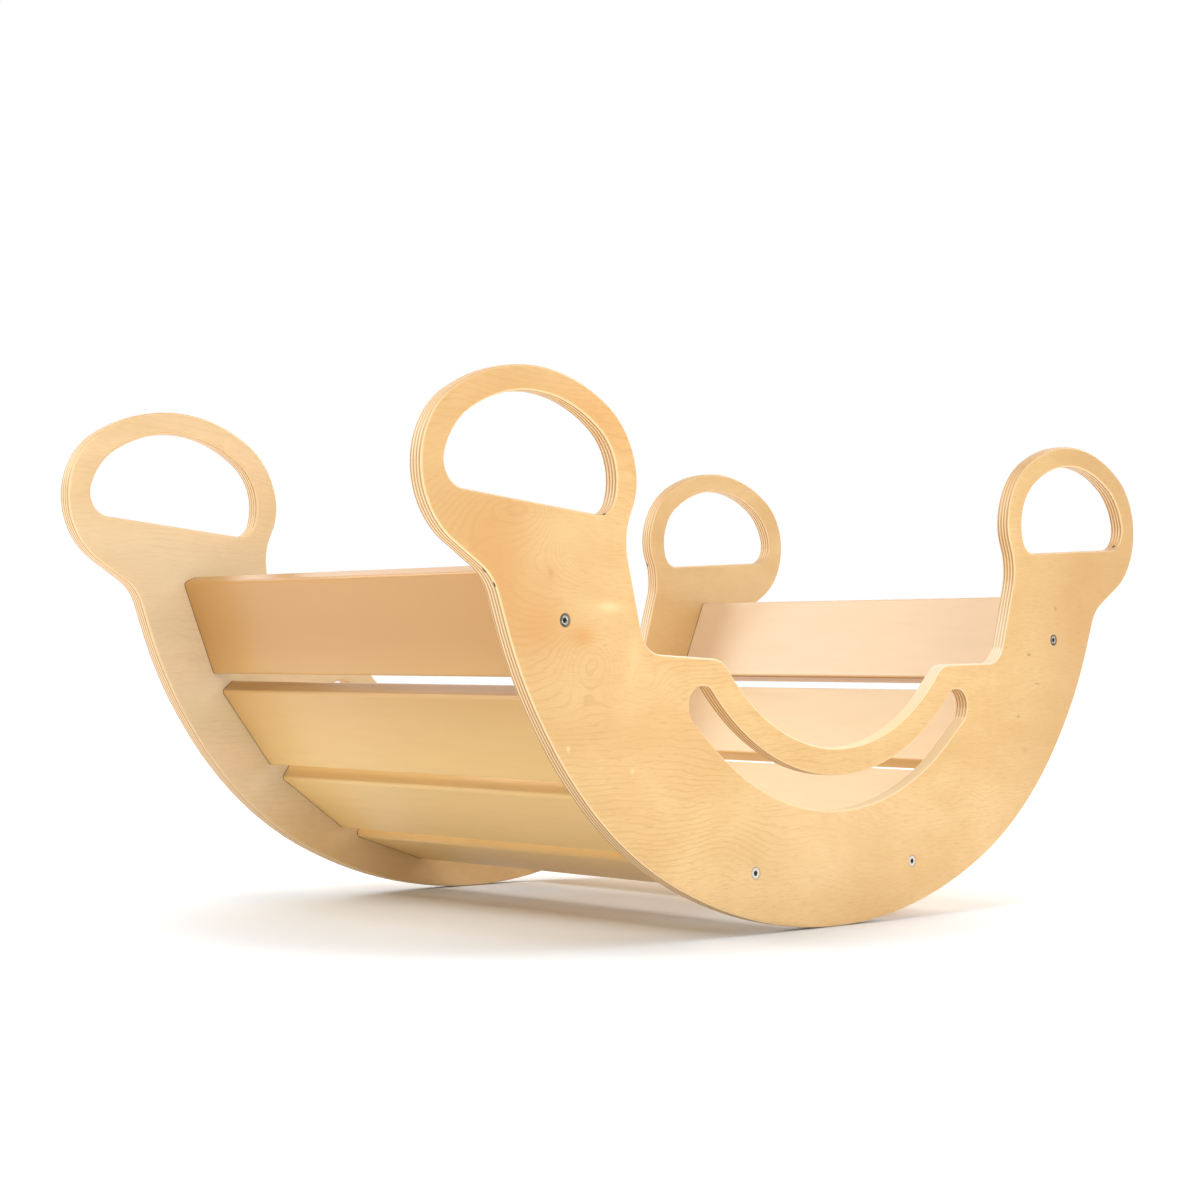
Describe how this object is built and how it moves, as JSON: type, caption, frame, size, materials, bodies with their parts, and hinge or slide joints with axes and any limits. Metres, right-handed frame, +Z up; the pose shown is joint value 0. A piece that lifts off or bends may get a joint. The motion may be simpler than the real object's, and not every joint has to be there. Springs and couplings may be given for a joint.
{
  "type": "wooden rocker arch",
  "caption": "Child's rocker arch with curved plywood side panels, oval hand grips, a crescent slot and rounded slats; turns over to make a climbing arch.",
  "frame": {"origin": "on the floor, midway between the two side panels, under the lowest point of the runners", "axes": "+X along the runners, towards the right pair of grips seen from the front panel; +Y across, from the front panel to the rear panel; +Z up"},
  "size_m": [1.0002, 0.508, 0.4672],
  "materials": {
    "panel_plywood": "clear satin varnish over birch plywood, rounded edges with the veneers showing",
    "slat_lacquered": "smooth satin lacquer, faint grain",
    "screw_zinc": "bright zinc plate, hexagon socket"
  },
  "bodies": {
    "root": {"front_panel": "panel_plywood", "rear_panel": "panel_plywood", "slat_left_top": "slat_lacquered", "slat_left_upper": "slat_lacquered", "slat_left_lower": "slat_lacquered", "slat_left_bottom": "slat_lacquered", "slat_right_top": "slat_lacquered", "slat_right_upper": "slat_lacquered", "slat_right_lower": "slat_lacquered", "slat_right_bottom": "slat_lacquered", "screw_front_left_top": "screw_zinc", "screw_front_left_bottom": "screw_zinc", "screw_front_right_top": "screw_zinc", "screw_front_right_bottom": "screw_zinc", "screw_rear_left_top": "screw_zinc", "screw_rear_left_bottom": "screw_zinc", "screw_rear_right_top": "screw_zinc", "screw_rear_right_bottom": "screw_zinc"}
  },
  "joints": []
}
